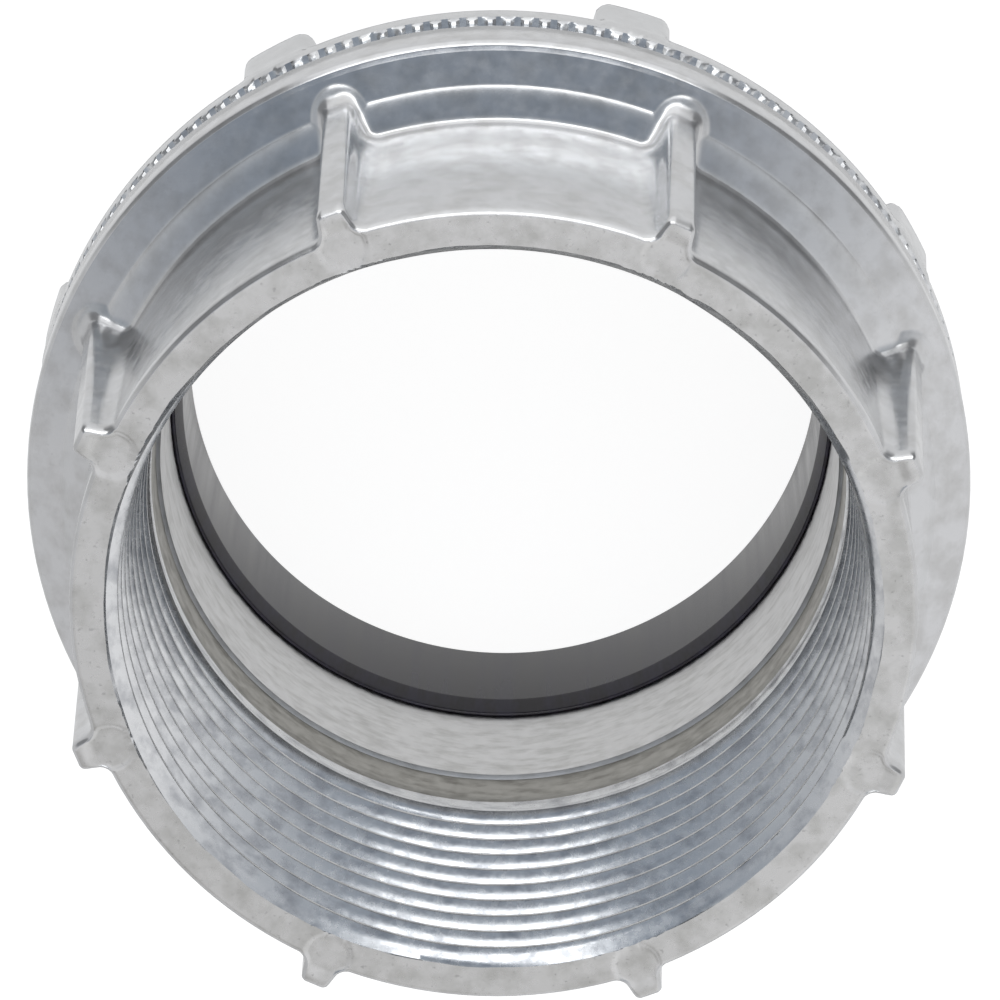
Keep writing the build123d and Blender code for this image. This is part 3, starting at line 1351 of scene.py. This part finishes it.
@dataclass
class Studio:
    """Pale floor whose glow in reflections is painted in zones, soft light and the camera at the photograph's
    angle.
    """

    focal_px: float = 5810.0
    image_px: float = 1000.0
    sensor_mm: float = 36.0
    mouth_z: float = 66.5
    distance: float = 519.5
    shift_x: float = -0.604
    shift_y: float = -10.325
    tilt_deg: float = 21.24
    swing_deg: float = -0.82
    wall_swing_deg: float = 10.0
    wall_light: Color = (0.275, 0.3125, 0.366)
    wall_foot_light: Color = (0.5, 0.53, 0.56)
    floor_color: Color = (0.3, 0.3, 0.3)
    floor_white: float = 0.9
    floor_near: float = 0.62
    floor_lit: float = 0.9
    floor_shade: float = 0.04
    floor_sides: tuple[float, float] = (0.45, 0.62)
    left_light: Color = (0.70, 0.70, 0.71)
    right_light: Color = (0.90, 0.90, 0.91)
    front_left_light: Color = (0.48, 0.475, 0.47)
    front_right_light: Color = (0.86, 0.86, 0.86)

    def camera(self) -> Object:
        """Set the camera where the photograph was taken from.

        Returns:
            The camera.
        """
        tilt, swing = math.radians(self.tilt_deg), math.radians(self.swing_deg)
        right = Vector((math.cos(swing), 0.0, math.sin(swing)))
        up = Vector((math.sin(swing) * math.sin(tilt), math.cos(tilt), -math.cos(swing) * math.sin(tilt)))
        back = Vector((-math.sin(swing) * math.cos(tilt), math.sin(tilt), math.cos(swing) * math.cos(tilt)))
        spot = right * -self.shift_x + up * -self.shift_y + back * self.distance
        spot.z += self.mouth_z
        data = bpy.data.cameras.new("photo_camera")
        data.sensor_width = self.sensor_mm
        data.lens = self.focal_px / self.image_px * self.sensor_mm
        data.clip_start, data.clip_end = 0.01, 20.0
        camera = bpy.data.objects.new("photo_camera", data)
        bpy.context.scene.collection.objects.link(camera)
        turn = Matrix((right, up, back)).transposed()
        camera.matrix_world = Matrix.Translation(spot * MM) @ turn.to_4x4()
        bpy.context.scene.camera = camera
        return camera

    def floor(self) -> Object:
        """Lay the pale floor under the hub.

        Returns:
            The floor.
        """
        data = bpy.data.meshes.new("floor")
        half = 3.0
        corners_at = [(-half, -half, 0.0), (half, -half, 0.0), (half, half, 0.0), (-half, half, 0.0)]
        data.from_pydata(corners_at, [], [(0, 1, 2, 3)])
        data.materials.append(self.floor_finish())
        floor = bpy.data.objects.new("floor", data)
        bpy.context.scene.collection.objects.link(floor)
        return floor

    def floor_finish(self) -> Material:
        """Build the floor's finish: white to the camera, and to glossy rays a glow in bright and dark zones,
        painted reflections and painted shade for the metal.

        Returns:
            The material.
        """
        nodes = Nodes("pale_floor")
        nodes.set(Base_Color=(*self.floor_color, 1.0), Roughness=0.9, Emission_Color=(*WHITE, 1.0))
        spot = nodes.tree.nodes.new("ShaderNodeSeparateXYZ")
        nodes.link(nodes.place, spot.inputs[0])
        across, away = spot.outputs[:2]
        square = nodes.math("ADD", nodes.math("POWER", across, 2.0), nodes.math("POWER", away, 2.0))
        reach = nodes.math("SQRT", square)
        facing = nodes.math("DIVIDE", away, reach)
        # Painted reflection: zones of glow that only glossy rays see, brighter near the hub and in the lit sector,
        # dark on the flanks as painted shade, middling at the sides.
        glow = nodes.graded(across, -0.05, 0.05, *self.floor_sides)
        glow = nodes.shift(nodes.graded(facing, 0.3, 0.48), glow, self.floor_shade)
        glow = nodes.shift(nodes.graded(facing, 0.83, 0.88), glow, self.floor_lit)
        glow = nodes.shift(nodes.graded(reach, 0.078, 0.09), self.floor_near, glow)
        paths = nodes.tree.nodes.new("ShaderNodeLightPath")
        glossy = nodes.math("MULTIPLY", paths.outputs["Is Glossy Ray"], glow)
        shown = nodes.math("MULTIPLY_ADD", paths.outputs["Is Camera Ray"], self.floor_white, glossy)
        nodes.link(shown, nodes.shader.inputs["Emission Strength"])
        return nodes.material

    def lamp(self, name: str, toward: Point, far: float, size: tuple[float, float], glow: float) -> Object:
        """Hang a soft rectangular lamp that faces the hub.

        Args:
            name: Name of the lamp.
            toward: Direction from the hub to the lamp.
            far: Distance from the hub in metres.
            size: Width and height in metres.
            glow: Brightness of its face, where 1 is white.

        Returns:
            The lamp.
        """
        data = bpy.data.lights.new(name, "AREA")
        data.shape = "RECTANGLE"
        data.size, data.size_y = size
        data.energy = glow * math.pi * size[0] * size[1]
        lamp = bpy.data.objects.new(name, data)
        bpy.context.scene.collection.objects.link(lamp)
        way = Vector(toward).normalized()
        lamp.location = way * far + Vector((0.0, 0.0, self.mouth_z * MM / 2))
        lamp.rotation_mode = "QUATERNION"
        lamp.rotation_quaternion = (-way).to_track_quat("-Z", "Y")
        lamp.visible_camera = False
        return lamp

    def world(self) -> None:
        """Fill the room with soft light that is dimmer on the side of the far wall."""
        world = bpy.data.worlds.new("studio")
        bpy.context.scene.world = world
        world.use_nodes = True
        tree = world.node_tree
        background = tree.nodes["Background"]
        graph = Graph(tree)
        way = tree.nodes.new("ShaderNodeSeparateXYZ")
        graph.link(tree.nodes.new("ShaderNodeTexCoord").outputs["Generated"], way.inputs[0])
        across, away, height = way.outputs
        level = graph.math("SQRT", graph.math("SUBTRACT", 1.0, graph.math("POWER", height, 2.0)))
        swing = math.radians(self.wall_swing_deg)
        turned = graph.math("MULTIPLY", away, math.cos(swing))
        turned = graph.math("MULTIPLY_ADD", across, -math.sin(swing), turned)
        facing = graph.math("DIVIDE", turned, graph.math("MAXIMUM", level, 0.001))
        wall = graph.math("MULTIPLY", graph.graded(facing, -0.1, 0.8), graph.graded(height, 0.92, 0.87))
        dark = graph.blend(graph.graded(height, 0.1, 0.5), self.wall_foot_light, self.wall_light)
        sides = graph.blend(graph.graded(across, -0.9, 0.9), self.left_light, self.right_light)
        behind = graph.graded(graph.math("MULTIPLY", away, -1.0), 0.3, 0.46)
        front = graph.math("MULTIPLY", behind, graph.graded(height, 0.6, 0.75))
        ahead = graph.blend(graph.graded(across, -0.15, 0.15), self.front_left_light, self.front_right_light)
        room = graph.blend(wall, graph.blend(front, sides, ahead), dark)
        seen = tree.nodes.new("ShaderNodeLightPath").outputs["Is Camera Ray"]
        graph.link(graph.blend(seen, room, WHITE), background.inputs["Color"])
        background.inputs["Strength"].default_value = 1.0

    def build(self) -> None:
        """Build the whole studio."""
        self.camera()
        self.floor()
        self.world()
        self.lamp("low_lamp", (0.0, 1.0, 0.02), 0.6, (0.74, 0.105), 2.2)
        self.lamp("key_lamp", (-0.02, 0.573, 0.82), 0.62, (0.36, 0.13), 2.6)
        bpy.context.scene.view_settings.view_transform = "Standard"


def corners(box: tuple[Vector, Vector]) -> list[list[float]]:
    """A box's corners as plain lists."""
    return [[float(value) for value in corner] for corner in box]


def main() -> None:
    """Build the hub's pieces and the studio around them, in order."""
    logging.basicConfig(level=logging.INFO, format="%(name)s: %(message)s")
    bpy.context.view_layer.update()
    cast = CastZinc("cast_zinc").build()
    face = CastZinc("face_zinc", (0.71, 0.71, 0.71), (0.56, 0.56, 0.55), roughness=0.24, pitting=0.4).build()
    nut_cast = CastZinc("nut_zinc_cast", light=(0.68, 0.685, 0.69), mottle=Mottle.CALM).build()
    cut = CutZinc("cut_zinc").build()
    bored = CutZinc("bored_zinc", (0.76, 0.76, 0.76), (0.62, 0.62, 0.61), roughness=0.36).build()
    # Painted shade: a darker zinc for the relief ring behind the mouth's thread, standing in for the shade in that
    # recess.
    relief_shade_zinc = CutZinc("relief_painted_shade_zinc", (0.46, 0.45, 0.42), (0.3, 0.29, 0.265), roughness=0.4).build()
    plastic = LinerPlastic("liner_plastic_black").build()
    rubber = SealRubber("seal_rubber_black").build()
    hub = HubCasting()
    pieces = [
        hub.build([cast, cut, bored, face, relief_shade_zinc]),
        ToothedLocknut().build(nut_cast, cut, hub),
        ThroatLiner().build(plastic),
        FlangeSeal().build(rubber),
    ]
    for piece in pieces:
        log.info("%s: %d faces", piece.name, len(piece.data.polygons))
    Studio().build()


if __name__ == "__main__":
    main()
